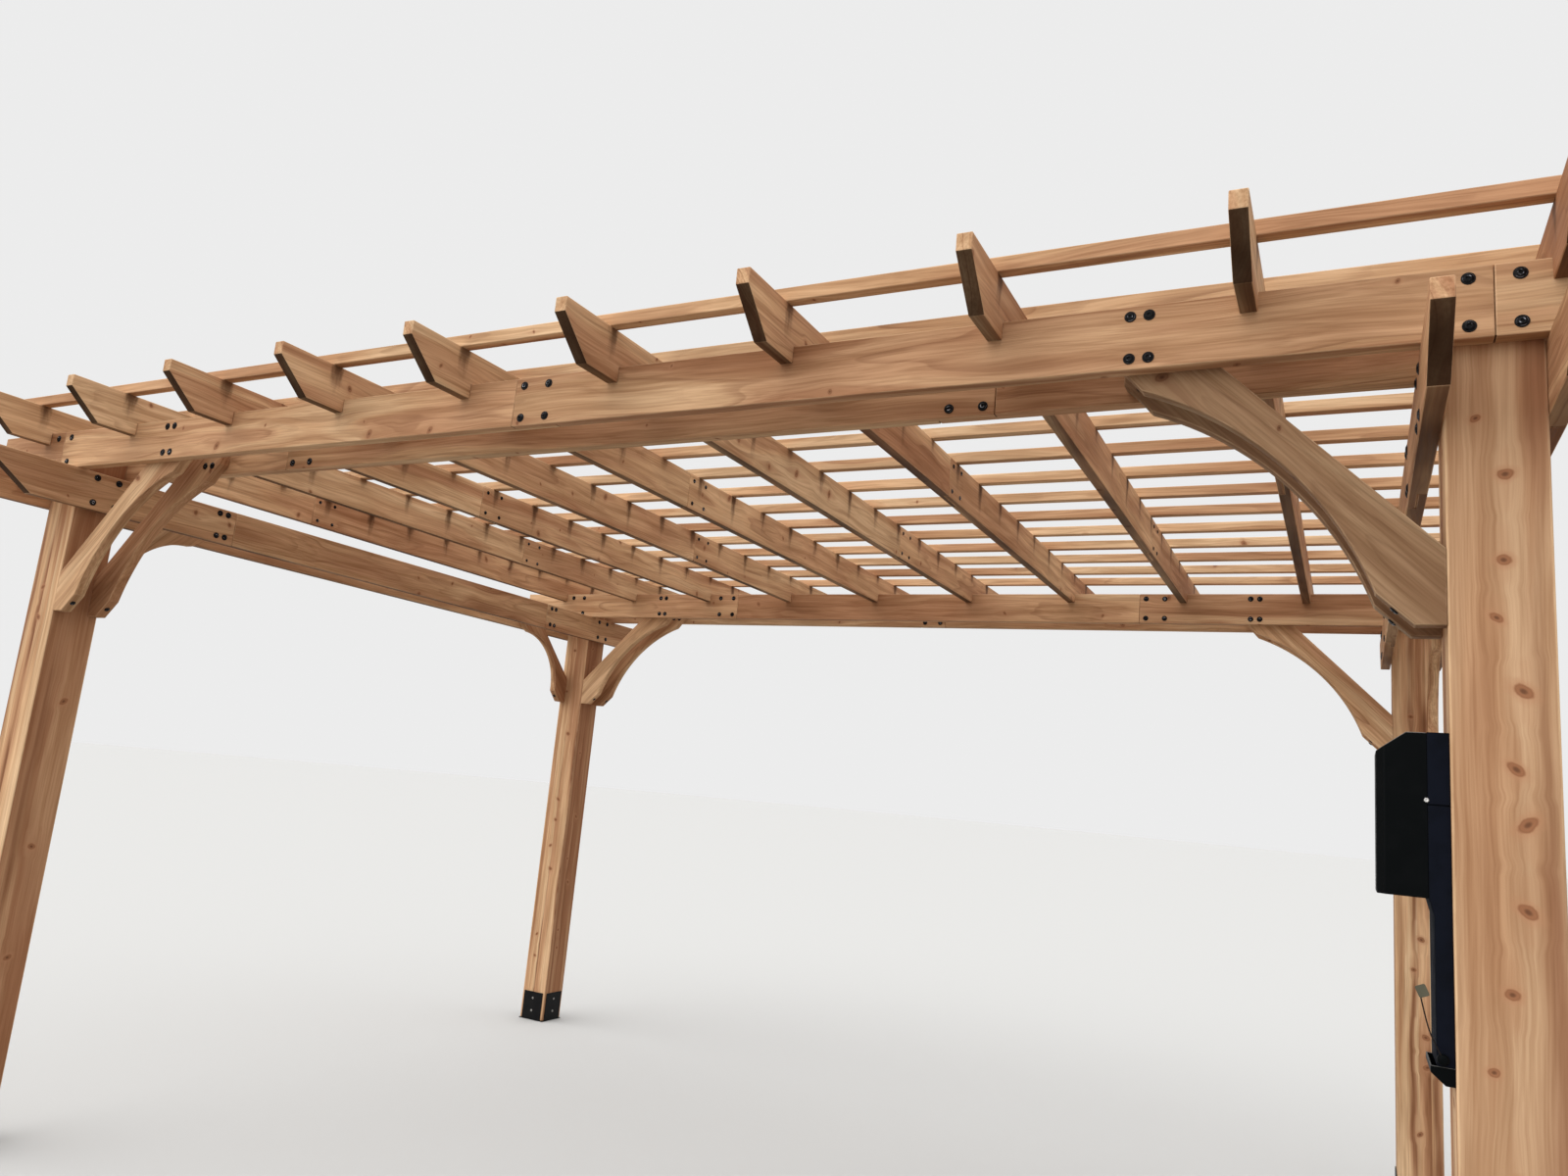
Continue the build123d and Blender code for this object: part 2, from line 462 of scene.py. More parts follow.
@dataclass(frozen=True)
class KnotHere:
    """The knot nearest to a point.

    share is the distance from its heart in radii, present is one where it is
    there at all, aside is how far it pushes the fibres, and trail is the
    reddish streak that runs along the fibres from it.
    """

    share: Value
    present: Value
    aside: Value
    trail: Value


@dataclass(frozen=True)
class Knots:
    """How knots are scattered: one at most in each cell, with its least radius and how far it grows."""

    cell: tuple[float, float] = (0.22, 0.13)
    scatter: float = 0.8
    radius: tuple[float, float] = (0.004, 0.01)
    light: float = 0.15
    trail: float = 0.5

    def find(self, g: ShaderGraph, knottiness: Value, pull: float) -> KnotHere:
        """Find the knot nearest to a point.

        Args:
            g: The material's nodes.
            knottiness: The share of the cells that hold a knot.
            pull: How far it pushes the fibres aside.

        Returns:
            The knot.
        """
        sheet = g.node("UVMap", "UV", uv_map="face_grain")
        flat = sheet / (*self.cell, 1.0)
        luck, bulk, slant = flat.cells(self.scatter, "F1", "Color").split()
        border = flat.cells(self.scatter, "DISTANCE_TO_EDGE", "Distance").remap(0.0, 0.16)
        ahead, sideways, _ = ((flat - flat.cells(self.scatter, "F1", "Position")) * (*self.cell, 0.0)).split()
        leaning = (slant - 0.5) * sideways + ahead
        distance = g.join(leaning * 1.25, sideways).math("LENGTH") * (sheet.noise(55.0) * 0.7 + 0.65)
        radius = bulk**1.5 * self.radius[1] + self.radius[0]
        present = luck.math("LESS_THAN", knottiness)
        near = (g.join(ahead * 0.36, sideways).math("LENGTH") / (radius * 2.4)).bell() * present * border
        trail = (g.join(ahead * 0.11, sideways).math("LENGTH") / (radius * 0.9)).bell() * present * border
        return KnotHere(distance / radius, present, sideways * near * pull, trail)


@dataclass(frozen=True)
class CedarFinish:
    """Planed and oiled cedar, with growth rings, fibres, knots and end grain.

    It reads the attributes that Timber gives to its boards: where a point is in
    its board, the heart that the rings go round, and the board's own tone.
    """

    name: str
    rings: Rings = Rings()
    knots: Knots = Knots()
    strip_width: float = 0.0
    stains_and_shade: SlatStainsAndShade | None = None
    # painted shade: how far faces that face down are darkened
    under: float = 0.0
    straw: Colour = srgb(226, 193, 155)
    honey: Colour = srgb(215, 175, 136)
    tan: Colour = srgb(201, 158, 122)
    russet: Colour = srgb(177, 130, 97)
    late_wood: Colour = srgb(140, 95, 68)
    knot_heart: Colour = srgb(92, 58, 41)
    knot_wood: Colour = srgb(160, 109, 77)
    # colour of the dark marks below the slats: partly stain, partly painted shade
    stain_and_shade: Colour = srgb(80, 53, 35)
    # painted shade, laid on faces that face down and on cut ends that face down
    underside_shade: Colour = srgb(44, 27, 16)
    fibres: Layer = Layer((5.0, 210.0, 210.0), 3.0, 0.34, 0.62, (0.81, 0.77, 0.73))
    streaks: Layer = Layer((1.4, 38.0, 38.0), 2.0, 0.38, 0.58, (0.81, 0.755, 0.71))
    clouds: Layer = Layer((2.2, 8.0, 8.0), 2.0, 0.34, 0.66, (0.88, 0.86, 0.84))
    wander_scale: Point = (1.3, 6.0, 6.0)
    hue_middle: float = 0.45
    hue_reach: float = 0.8
    heart_step: float = 0.09
    seam_share: float = 0.42
    gloss: float = 0.05
    roughness: tuple[float, float] = (0.6, 0.8)
    relief: float = 0.0006

    def build(self) -> bpy.types.Material:
        """Build the finish.

        Returns:
            The material.
        """
        g = ShaderGraph(self.name)
        place = g.attribute("grain")
        tone, red, knottiness = g.attribute("board").split()
        heart_across, heart_through, _ = g.attribute("heart").split()
        ending, edge, narrow = g.attribute("kind").split()
        end = ending.math("MINIMUM", 1.0)
        wander = place.noise(self.wander_scale, tint=True) - (0.5, 0.5, 0.5)
        along, across, through = (place + wander * (0.0, self.rings.wander, self.rings.wander)).split()
        knot = self.knots.find(g, knottiness * (1.0 - end), self.rings.pull)
        across -= knot.aside * (1.0 - narrow)
        through -= knot.aside * narrow
        hue = (red - 0.5) * self.hue_reach + self.hue_middle
        seam = None
        if self.strip_width:
            strip, seam = self._strips(place)
            heart_across += strip * self.heart_step
            hue += (strip - 0.5) * self.hue_reach
        at = g.join(along, across, through)
        radius = g.join(across - heart_across, through - heart_through).math("LENGTH")
        late, band = self.rings.draw(g, radius, at)
        stops = ((0.0, self.straw), (0.38, self.honey), (0.66, self.tan), (1.0, self.russet))
        colour = g.mix(late * (end * 0.2 + self.rings.late), (hue + band).ramp(stops), self.late_wood)
        fibres = at.noise(self.fibres.scale, self.fibres.detail)
        streaks = at.noise(self.streaks.scale, self.streaks.detail)
        clouds = place.noise(self.clouds.scale, self.clouds.detail)
        for layer, noise in ((self.fibres, fibres), (self.streaks, streaks), (self.clouds, clouds)):
            colour = layer.lay(g, noise, colour)
        if seam:
            colour = g.mix(seam * self.seam_share, colour, self.late_wood)
        colour, hollow = self._knot_colour(g, colour, knot)
        # Dark marks below each slat: partly stain, partly painted shade.
        if self.stains_and_shade:
            colour = g.mix(self.stains_and_shade.amount(g), colour, self.stain_and_shade)
        colour = g.mix(1.0, colour, g.join(tone, tone, tone), "MULTIPLY")
        # Eased edges turn lighter: partly worn, partly a painted highlight.
        colour = g.mix(edge * place.noise(14.0, 3.0).remap(0.35, 0.65, 0.05, 0.3), colour, self.straw)
        # Painted shade: cut ends that face down, and where under is set every face that faces down, take the
        # dark underside colour.
        underside_shading = ending.math("GREATER_THAN", 1.5) * clouds.remap(0.2, 0.8, 0.97, 0.84)
        if self.under:
            below = g.upward().remap(-0.97, -0.85, self.under, 0.0)
            underside_shading = underside_shading.math("MAXIMUM", below * clouds.remap(0.3, 0.7, 1.0, 0.6))
        colour = g.mix(underside_shading, colour, self.underside_shade)
        relief = late * 0.35 + fibres * 0.8 - hollow * 0.6
        return g.cover(colour, fibres.remap(0.3, 0.75, *self.roughness), self.gloss, relief, self.relief)

    def _strips(self, place: Value) -> tuple[Value, Value]:
        """Divide a glued post into the strips that it is laminated from.

        Args:
            place: Where a point is in its post.

        Returns:
            A random number for the point's strip, and one on a glue line.
        """
        count = place.split()[2] / self.strip_width
        near = abs(count.math("FRACT") - 0.5)
        return count.math("FLOOR").chance(), near.remap(0.478, 0.496)

    def _knot_colour(self, g: ShaderGraph, colour: Value, knot: KnotHere) -> tuple[Value, Value]:
        """Lay the knots over the wood.

        Args:
            g: The material's nodes.
            colour: The wood's colour.
            knot: The nearest knot.

        Returns:
            The colour with knots, and one in the knot's cracked heart.
        """
        share = knot.share
        colour = g.mix(knot.trail * self.knots.trail, colour, self.russet)
        rings = (share * 11.0).math("SINE") * 0.1 + 0.14
        inner = g.mix(rings, g.mix(self.knots.light, self.knot_wood, self.tan), self.knot_heart)
        rim = share.remap(0.7, 0.9) * share.remap(0.9, 1.15, 1.0, 0.0)
        inner = g.mix(rim * 0.3, inner, self.knot_heart)
        heart = share.remap(0.12, 0.7, 1.0, 0.0)
        inner = g.mix(heart * (0.85 - 0.5 * self.knots.light), inner, self.knot_heart)
        colour = g.mix(share.remap(0.9, 2.3, 0.55, 0.0) * knot.present, colour, self.russet)
        return g.mix(share.remap(0.82, 1.2, 0.92, 0.0) * knot.present, colour, inner), heart * knot.present


@dataclass(frozen=True)
class CoatedSteelFinish:
    """Black powder coated steel with a fine texture, lighter along its marked edges: scraped to the steel on
    eased edges, and a painted glint on the bolt heads' marked rings.
    """

    name: str
    coat: Colour = (0.003, 0.003, 0.0036)
    dusty: Colour = (0.007, 0.0068, 0.0068)
    edge_bare_and_glint: Colour = (0.11, 0.105, 0.1)
    roughness: tuple[float, float] = (0.36, 0.5)
    gloss: float = 0.1
    wear_and_glint: float = 0.4
    grain: float = 900.0

    def build(self) -> bpy.types.Material:
        """Build the finish.

        Returns:
            The material.
        """
        g = ShaderGraph(self.name)
        place = g.position()
        edge = g.attribute("kind").split()[1]
        clouds = place.noise(22.0, 4.0)
        scuffs_and_glints = place.noise((60.0, 60.0, 160.0), 3.0).remap(0.5, 0.66)
        colour = g.mix(clouds.remap(0.35, 0.75, 0.0, 0.8), self.coat, self.dusty)
        # Marked edges turn lighter: scraped steel on eased edges, a painted glint on the bolt heads' marked
        # rings.
        colour = g.mix(edge * scuffs_and_glints * self.wear_and_glint, colour, self.edge_bare_and_glint)
        roughness = clouds.remap(0.3, 0.7, *self.roughness)
        return g.cover(colour, roughness, self.gloss, place.noise(self.grain), 0.00025)


@dataclass(frozen=True)
class MouldedPlasticFinish:
    """Satin moulded plastic with a fine spark-eroded texture, faint dust and, where asked for, a painted
    highlight on its upward-facing edges.
    """

    name: str
    body: Colour
    dust: Colour = (0.004, 0.0045, 0.005)
    glint: Colour = (0.3, 0.29, 0.27)
    glint_share: float = 0.0
    roughness: tuple[float, float] = (0.42, 0.56)
    gloss: float = 0.04

    def build(self) -> bpy.types.Material:
        """Build the finish.

        Returns:
            The material.
        """
        g = ShaderGraph(self.name)
        place = g.position()
        edge = g.attribute("kind").split()[1]
        clouds = place.noise(30.0, 4.0)
        colour = g.mix(clouds.remap(0.42, 0.78, 0.0, 0.45), self.body, self.dust)
        colour = g.mix(edge * 0.4, colour, self.dust)
        # Painted highlight on eased edges that face up.
        if self.glint_share:
            colour = g.mix(edge * g.upward().remap(0.35, 0.8, 0.0, self.glint_share), colour, self.glint)
        roughness = clouds.remap(0.3, 0.7, *self.roughness)
        return g.cover(colour, roughness, self.gloss, place.noise(1400.0), 0.0002)


@dataclass(frozen=True)
class PlatedFinish:
    """Dull zinc plating with faint spangles and grey blooms."""

    name: str = "zinc_plate"
    bright: Colour = (0.34, 0.33, 0.31)
    bloom: Colour = (0.17, 0.165, 0.155)

    def build(self) -> bpy.types.Material:
        """Build the finish.

        Returns:
            The material.
        """
        g = ShaderGraph(self.name)
        place = g.position()
        clouds = place.noise(120.0, 4.0)
        colour = g.mix(clouds.remap(0.35, 0.65), self.bright, self.bloom)
        roughness = clouds.remap(0.3, 0.7, 0.38, 0.6)
        return g.cover(colour, roughness, 0.5, place.noise(1500.0), 0.0001, metallic=0.6)


class FaceMark(IntEnum):
    """What a face of a copied board or plate is."""

    FLAT = 0
    CURVED = 1
    EASED = 2


@dataclass(frozen=True)
class EasedCopy:
    """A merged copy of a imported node, with its sharp outer edges rounded."""

    easing: float
    segments: int = 2
    flat_limit: float = math.radians(0.4)
    sharp_limit: float = math.radians(25)

    def build(self, node: str) -> bmesh.types.BMesh:
        """Return the copy, with each face's mark as its material index.

        Args:
            node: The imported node's name.

        Returns:
            The mesh, which the caller frees.
        """
        mesh = bmesh.new()
        mesh.from_mesh(frame["nodes"][node].data)
        bmesh.ops.remove_doubles(mesh, verts=mesh.verts, dist=TINY)
        bmesh.ops.dissolve_limit(mesh, angle_limit=self.flat_limit, verts=mesh.verts, edges=mesh.edges)
        for face in mesh.faces:
            turns = [edge.calc_face_angle(0.0) for edge in face.edges]
            bent = any(self.flat_limit < turn < self.sharp_limit for turn in turns)
            face.material_index = FaceMark.CURVED if bent else FaceMark.FLAT
        sharp = [
            edge for edge in mesh.edges if edge.is_convex and edge.calc_face_angle(0.0) > self.sharp_limit
        ]
        bmesh.ops.bevel(
            mesh, geom=sharp, offset=self.easing, offset_type="OFFSET", segments=self.segments, profile=0.5,
            affect="EDGES", clamp_overlap=False, material=FaceMark.EASED,
        )
        return mesh


def linked(name: str, data: bpy.types.ID) -> bpy.types.Object:
    """Put a new object in the scene.

    Args:
        name: The object's name.
        data: What it shows.

    Returns:
        The object.
    """
    thing = bpy.data.objects.new(name, data)
    bpy.context.scene.collection.objects.link(thing)
    return thing


def evaluated(name: str, carrier: bpy.types.Object) -> bpy.types.Mesh:
    """Turn what an object evaluates to into a mesh of its own, and remove the object.

    Args:
        name: The mesh's name.
        carrier: The object.

    Returns:
        The mesh.
    """
    depsgraph = bpy.context.evaluated_depsgraph_get()
    data = bpy.data.meshes.new_from_object(carrier.evaluated_get(depsgraph), depsgraph=depsgraph)
    data.name = name
    bpy.data.objects.remove(carrier)
    return data


def riding(name: str, data: bpy.types.Mesh, slot: str) -> bpy.types.Object:
    """Turn mesh data into a piece of the object that rides on its body.

    Args:
        name: The piece's name.
        data: The mesh data, with its material.
        slot: The record's material slot; not used.

    Returns:
        The piece.
    """
    piece = linked(name, data)
    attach(piece, "root")
    log.info("%s: %d faces", name, len(data.polygons))
    return piece


def finished(mesh: bmesh.types.BMesh, name: str, material: bpy.types.Material, slot: str) -> bpy.types.Object:
    """Turn a mesh into a piece of the object, and free it.

    Args:
        mesh: The mesh.
        name: The piece's name.
        material: Its material.
        slot: The record's material slot, handed on to riding.

    Returns:
        The piece.
    """
    data = bpy.data.meshes.new(name)
    mesh.to_mesh(data)
    mesh.free()
    data.materials.append(material)
    return riding(name, data, slot)


def mark_faces(mesh: bmesh.types.BMesh) -> bmesh.types.BMLayerItem:
    """Write each face's mark to the kind attribute, and shade curved and eased faces smooth.

    Args:
        mesh: The mesh, with each face's mark as its material index.

    Returns:
        The attribute.
    """
    kind = mesh.faces.layers.float_vector.new("kind")
    for face in mesh.faces:
        face[kind] = (0.0, float(face.material_index == FaceMark.EASED), 0.0)
        face.smooth = face.material_index != FaceMark.FLAT
        face.material_index = 0
    return kind


def cover_node(node: str, copy: EasedCopy, suffix: str, material: bpy.types.Material, slot: str) -> None:
    """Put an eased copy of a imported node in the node's place.

    Args:
        node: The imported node's name.
        copy: How its edges are eased.
        suffix: What the piece's name ends with.
        material: Its material.
        slot: The record's material slot.
    """
    mesh = copy.build(node)
    mark_faces(mesh)
    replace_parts(finished(mesh, f"{node}_{suffix}", material, slot), node)


def middle_of(node: str) -> Vector:
    """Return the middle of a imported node's box."""
    low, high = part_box(node)
    return (low + high) / 2


def unit(*directions: Point) -> tuple[Vector, ...]:
    """Return directions as vectors of length one."""
    return tuple(Vector(direction).normalized() for direction in directions)


class Run(Enum):
    """The directions of a board: along its fibres, across its wide face and through it."""

    UPRIGHT = unit((0, 0, 1), (1, 0, 0), (0, 1, 0))
    UPRIGHT_TURNED = unit((0, 0, 1), (0, 1, 0), (1, 0, 0))
    SIDEWAYS = unit((1, 0, 0), (0, 0, 1), (0, 1, 0))
    LENGTHWAYS = unit((0, 1, 0), (0, 0, 1), (1, 0, 0))
    RISING_RIGHT = unit((1, 0, 1), (-1, 0, 1), (0, 1, 0))
    RISING_LEFT = unit((-1, 0, 1), (1, 0, 1), (0, 1, 0))
    RISING_BACK = unit((0, 1, 1), (0, -1, 1), (1, 0, 0))
    RISING_FRONT = unit((0, -1, 1), (0, 1, 1), (1, 0, 0))


@dataclass(frozen=True)
class BoardKind:
    """What the boards of one kind have in common."""

    prefix: str
    run: Run
    knottiness: float
    tone: float
    red: float
    heart: float = 0.09
    laminated: bool = False


BOARD_KINDS = (
    BoardKind("post_front_right", Run.UPRIGHT, 0.8, 0.98, 0.42, laminated=True),
    BoardKind("post_front_left", Run.UPRIGHT_TURNED, 0.4, 1.0, 0.64, laminated=True),
    BoardKind("post_back", Run.UPRIGHT_TURNED, 0.6, 0.99, 0.64, laminated=True),
    BoardKind("header_brace_front_left", Run.RISING_RIGHT, 0.3, 0.97, 0.4),
    BoardKind("header_brace_back_left", Run.RISING_RIGHT, 0.3, 0.97, 0.5),
    # The front right brace's low tone is painted shade, for its place in shade under the header.
    BoardKind("header_brace_front_right", Run.RISING_LEFT, 0.3, 0.46, 0.5),
    BoardKind("header_brace_back_right", Run.RISING_LEFT, 0.3, 0.97, 0.5),
    BoardKind("side_brace_front", Run.RISING_BACK, 0.3, 0.95, 0.55),
    BoardKind("side_brace_back", Run.RISING_FRONT, 0.3, 0.95, 0.5),
    # The headers' slightly lower tone is partly painted shade, partly weathering.
    BoardKind("header", Run.SIDEWAYS, 0.4, 0.91, 0.54, heart=0.12),
    BoardKind("side_beam", Run.LENGTHWAYS, 0.5, 0.96, 0.62, heart=0.12),
    BoardKind("rafter", Run.LENGTHWAYS, 0.45, 0.97, 0.6, heart=0.12),
    BoardKind("slats", Run.SIDEWAYS, 0.25, 0.95, 0.36, heart=0.1),
)


def islands(mesh: bmesh.types.BMesh) -> list[list[bmesh.types.BMFace]]:
    """Find the separate solids in a mesh.

    Args:
        mesh: The mesh.

    Returns:
        The faces of each solid, in a fixed order.
    """
    mesh.faces.ensure_lookup_table()
    seen = set()
    found = []
    for start in mesh.faces:
        if start.index in seen:
            continue
        seen.add(start.index)
        stack = [start]
        solid = []
        while stack:
            face = stack.pop()
            solid.append(face)
            for other in (other for edge in face.edges for other in edge.link_faces):
                if other.index not in seen:
                    seen.add(other.index)
                    stack.append(other)
        found.append(solid)
    return sorted(found, key=lambda faces: tuple(round(v, 4) for v in faces[0].calc_center_bounds()))


@dataclass(frozen=True)
class SlatRows:
    """The slats' middle lines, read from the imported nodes."""

    rows: tuple[float, ...]
    pitch: float
    underside: float
    top: float

    @classmethod
    def read(cls, in_first_node: int = 3) -> "SlatRows":
        """Work out where the slats are.

        Args:
            in_first_node: The number of slats in the first node.

        Returns:
            The rows.
        """
        nodes = sorted(node for node in frame["nodes"] if node.startswith("slats_"))
        low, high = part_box(nodes[0])
        side = high.z - low.z
        pitch = (high.y - low.y - side) / (in_first_node - 1)
        rows = []
        for node in nodes:
            low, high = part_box(node)
            count = round((high.y - low.y - side) / pitch) + 1
            rows += [low.y + side / 2 + pitch * row for row in range(count)]
        return cls(tuple(rows), pitch, low.z, high.z)


@dataclass
class Timber:
    """All the boards and posts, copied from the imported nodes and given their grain."""

    seed: int = 23
    board_copy: EasedCopy = EasedCopy(0.0022)
    post_copy: EasedCopy = EasedCopy(0.004)
    strip_width: float = 0.037996  # just under a quarter of a post, so that no face lies on a strip's edge
    post_rings: Rings = Rings(
        width=0.04, start=0.4, end=0.76, odds=0.5, late=1.0,
        fine=0.03, band=0.95, drift=0.6, wander=0.035, pull=0.4,
    )
    post_knots: Knots = Knots(cell=(0.12, 0.13), scatter=0.5, radius=(0.008, 0.007), light=0.0, trail=0.22)

    def build(self) -> None:
        """Make every wooden piece."""
        slats = SlatRows.read()
        # The rafters' dark marks below each slat are partly stain, partly painted shade.
        stains_and_shade = SlatStainsAndShade(slats.rows[0], slats.pitch, slats.underside)
        plain = CedarFinish("cedar_board").build()
        # under darkens the rafters' and side beams' faces that face down as painted shade.
        special = {
            "rafter": CedarFinish("cedar_rafter", stains_and_shade=stains_and_shade, under=0.82).build(),
            "side_beam": CedarFinish("cedar_beam", under=0.7).build(),
        }
        glued = CedarFinish(
            "cedar_post", self.post_rings, self.post_knots, strip_width=self.strip_width
        ).build()
        draw = random.Random(self.seed)
        for node in sorted(frame["nodes"]):
            kind = next((k for k in BOARD_KINDS if node.startswith(k.prefix)), None)
            if kind is None or node.startswith("post_shoe"):
                continue
            mesh = (self.post_copy if kind.laminated else self.board_copy).build(node)
            self._give_grain(mesh, kind, draw)
            finish = glued if kind.laminated else special.get(kind.prefix, plain)
            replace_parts(finished(mesh, f"{node}_wood", finish, "cedar"), node)

    def _give_grain(self, mesh: bmesh.types.BMesh, kind: BoardKind, draw: random.Random) -> None:
        """Write the attributes that the cedar finish reads.

        Args:
            mesh: The copied node, which may hold several boards.
            kind: What the boards have in common.
            draw: The source of random numbers.
        """
        grain, board, heart = (
            mesh.verts.layers.float_vector.new(name) for name in ("grain", "board", "heart")
        )
        mesh.loops.layers.uv.new("face_grain")
        kinds = mark_faces(mesh)
        for solid in islands(mesh):
            corners = list(dict.fromkeys(vert for face in solid for vert in face.verts))
            middle = sum((vert.co for vert in corners), Vector()) / len(corners)
            shift = Vector((draw.uniform(0, 40), draw.uniform(-0.01, 0.01), 0.0))
            look = (
                kind.tone * draw.uniform(0.92, 1.04),
                kind.red + draw.uniform(-0.17, 0.17),
                kind.knottiness * draw.uniform(0.8, 1.2),
            )
            centre = (
                draw.uniform(-0.04, 0.04),
                draw.choice((-1, 1)) * kind.heart * draw.uniform(0.7, 1.4),
                0.0,
            )
            for vert in corners:
                at = vert.co - middle
                vert[grain] = Vector([at.dot(axis) for axis in kind.run.value]) + shift
                vert[board] = look
                vert[heart] = centre
            self._unfold(mesh, solid, middle, kind, kinds, draw)

    def _unfold(
        self, mesh: bmesh.types.BMesh, solid: list[bmesh.types.BMFace], middle: Vector, kind: BoardKind,
        kinds: bmesh.types.BMLayerItem, draw: random.Random,
    ) -> None:
        """Lay a board's faces out flat for its knots, and mark its ends and narrow faces.

        Args:
            mesh: The copied node.
            solid: The board's faces.
            middle: The board's middle.
            kind: What the boards have in common.
            kinds: The attribute for the marks.
            draw: The source of random numbers.
        """
        along, across, through = kind.run.value
        face_grain = mesh.loops.layers.uv["face_grain"]
        cell, scatter = self.post_knots.cell[1], self.post_knots.scatter
        sides = {}
        for face in solid:
            normal = face.normal
            facing = max(kind.run.value, key=lambda axis: abs(normal.dot(axis)))
            side = (tuple(facing), normal.dot(facing) > 0)
            if side not in sides:
                aside = draw.uniform(0, 30)
                if kind.laminated:
                    aside = (round(aside / cell) + scatter / 2) * cell
                sides[side] = (draw.uniform(0, 30), aside)
            end = float(abs(normal.dot(along)) > 0.5)
            # Cut ends of level boards that face down are marked 2, for the finish's painted shade.
            if end and along.z == 0 and -0.95 < normal.z < -0.3:
                end = 2.0
            narrow = abs(normal.dot(across)) > abs(normal.dot(through))
            face[kinds] = (end, face[kinds][1], float(narrow))
            for loop in face.loops:
                at = loop.vert.co - middle
                second = at.dot(through if narrow else across)
                loop[face_grain].uv = (at.dot(along) + sides[side][0], second + sides[side][1])


@dataclass(frozen=True)
class Spot:
    """Where a fastener sits: its place, the way it faces and its diameter."""

    place: Point
    facing: Point
    size: float

    def raised(self, share: float) -> "Spot":
        """Return the spot moved outwards by a share of its size."""
        place = Vector(self.place) + Vector(self.facing) * (share * self.size)
        return Spot(tuple(place), self.facing, self.size)


@dataclass(frozen=True)
class Lathed:
    """A closed mesh turned round the Z axis: the radius and height of each ring, from the foot to the last.

    hexagon names the rings that are hexagons, as a socket's are, and the last field
    says how strongly the band from a ring to the next one shows a painted glint.
    """

    rings: tuple[tuple[float, float], ...]
    segments: int
    hexagon: tuple[int, ...] = ()
    glint_bands: tuple[tuple[int, float], ...] = ()

    def build(self) -> bmesh.types.BMesh:
        """Build the mesh.

        Returns:
            The mesh, which the caller frees.
        """
        mesh = bmesh.new()
        kind = mesh.faces.layers.float_vector.new("kind")
        glint_bands = dict(self.glint_bands)
        turns = [math.tau * step / self.segments for step in range(self.segments)]
        rows = []
        for number, (radius, height) in enumerate(self.rings):
            reach = [radius] * self.segments
            if number in self.hexagon:
                aside = [(turn + math.pi / 6) % (math.pi / 3) - math.pi / 6 for turn in turns]
                reach = [radius * math.cos(math.pi / 6) / math.cos(angle) for angle in aside]
            ring = zip(reach, turns)
            rows.append([mesh.verts.new((r * math.cos(t), r * math.sin(t), height)) for r, t in ring])
        for number, (low, high) in enumerate(zip(rows, rows[1:])):
            for step in range(self.segments):
                after = (step + 1) % self.segments
                face = mesh.faces.new((low[step], low[after], high[after], high[step]))
                face.smooth = True
                # The middle value marks the band for a painted glint.
                face[kind] = (0.0, glint_bands.get(number, 0.0), 0.0)
        mesh.faces.new(tuple(reversed(rows[0])))
        mesh.faces.new(tuple(rows[-1]))
        return mesh

    def placed(self, size: float, place: Sequence[float]) -> bmesh.types.BMesh:
        """Build the mesh at a size and a place, facing the front.

        Args:
            size: Its diameter.
            place: Where the middle of its foot goes.

        Returns:
            The mesh, which the caller frees.
        """
        mesh = self.build()
        bmesh.ops.scale(mesh, vec=Vector.Fill(3, size), verts=mesh.verts)
        mesh.transform(Matrix.Translation(place) @ Matrix.Rotation(math.pi / 2, 4, "X"))
        return mesh


# Bands 1 and 4, the dome's outer rim and the socket's rim, carry a painted glint.
DOMED_HEAD = Lathed(
    ((0.5, 0.0), (0.5, 0.05), (0.43, 0.14), (0.32, 0.19), (0.27, 0.2), (0.2, 0.21), (0.19, 0.08)),
    14, hexagon=(5, 6), glint_bands=((1, 0.3), (4, 1.0)),
)
FLAT_WASHER = Lathed(((0.5, 0.0), (0.5, 0.09), (0.47, 0.115)), 18)
SUNK_HEAD = Lathed(((0.5, -0.05), (0.5, 0.02), (0.22, 0.03), (0.18, -0.04)), 10)
PAN_HEAD = Lathed(((0.5, 0.0), (0.5, 0.1), (0.4, 0.2), (0.16, 0.22), (0.12, 0.1)), 16)
KNOB = Lathed(
    (
        (0.3, 0.0), (0.3, 0.14), (0.45, 0.2), (0.5, 0.32),
        (0.48, 0.48), (0.38, 0.6), (0.2, 0.66), (0.06, 0.67),
    ),
    24,
)


